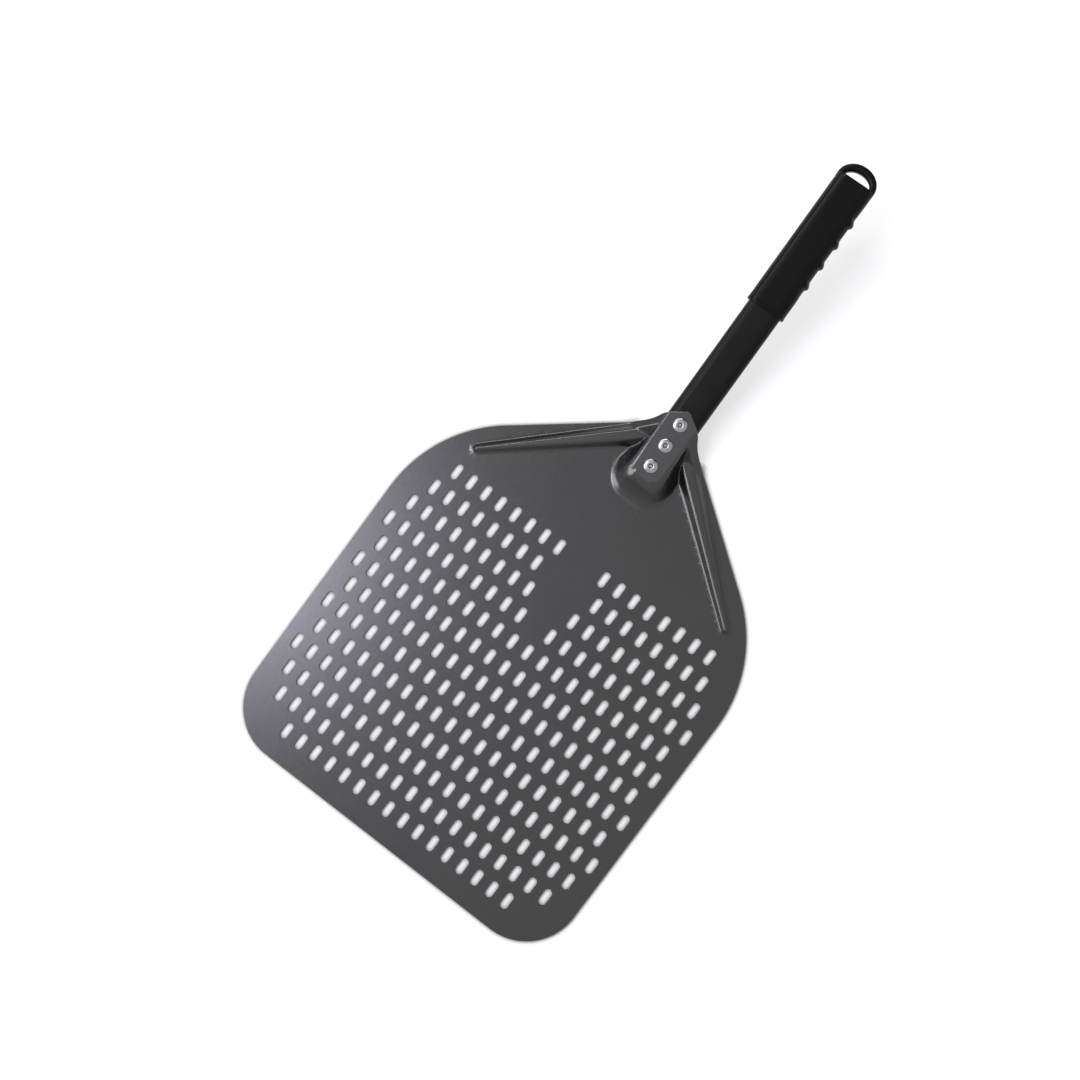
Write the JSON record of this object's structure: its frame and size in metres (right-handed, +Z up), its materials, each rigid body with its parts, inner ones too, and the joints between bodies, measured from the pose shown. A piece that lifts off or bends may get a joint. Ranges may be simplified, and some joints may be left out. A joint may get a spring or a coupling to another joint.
{
  "type": "pizza peel",
  "caption": "Perforated flat peel with a rounded blade, raised riveted neck, oval tube handle and ribbed grip with a hanging eye.",
  "frame": {"origin": "on the surface that the blade lies on, under the middle of the whole length and width", "axes": "+Y from the blade's front edge to the hanging eye, +X across the blade towards the grip's finger bumps, +Z up"},
  "size_m": [0.33, 0.66, 0.0569],
  "materials": {
    "anodised_sheet": "hard anodised, dark grey, satin",
    "black_tube": "powder coated black, satin",
    "black_plastic": "moulded, fine texture",
    "rivet": "bright",
    "rivet_stem": "broken off, dull"
  },
  "bodies": {
    "root": {"blade": "anodised_sheet", "handle_tube": "black_tube", "front_plug": "black_plastic", "grip": "black_plastic", "rivet_shell_1": "rivet", "rivet_shell_2": "rivet", "rivet_shell_3": "rivet", "rivet_stem_1": "rivet_stem", "rivet_stem_2": "rivet_stem", "rivet_stem_3": "rivet_stem"}
  },
  "joints": []
}
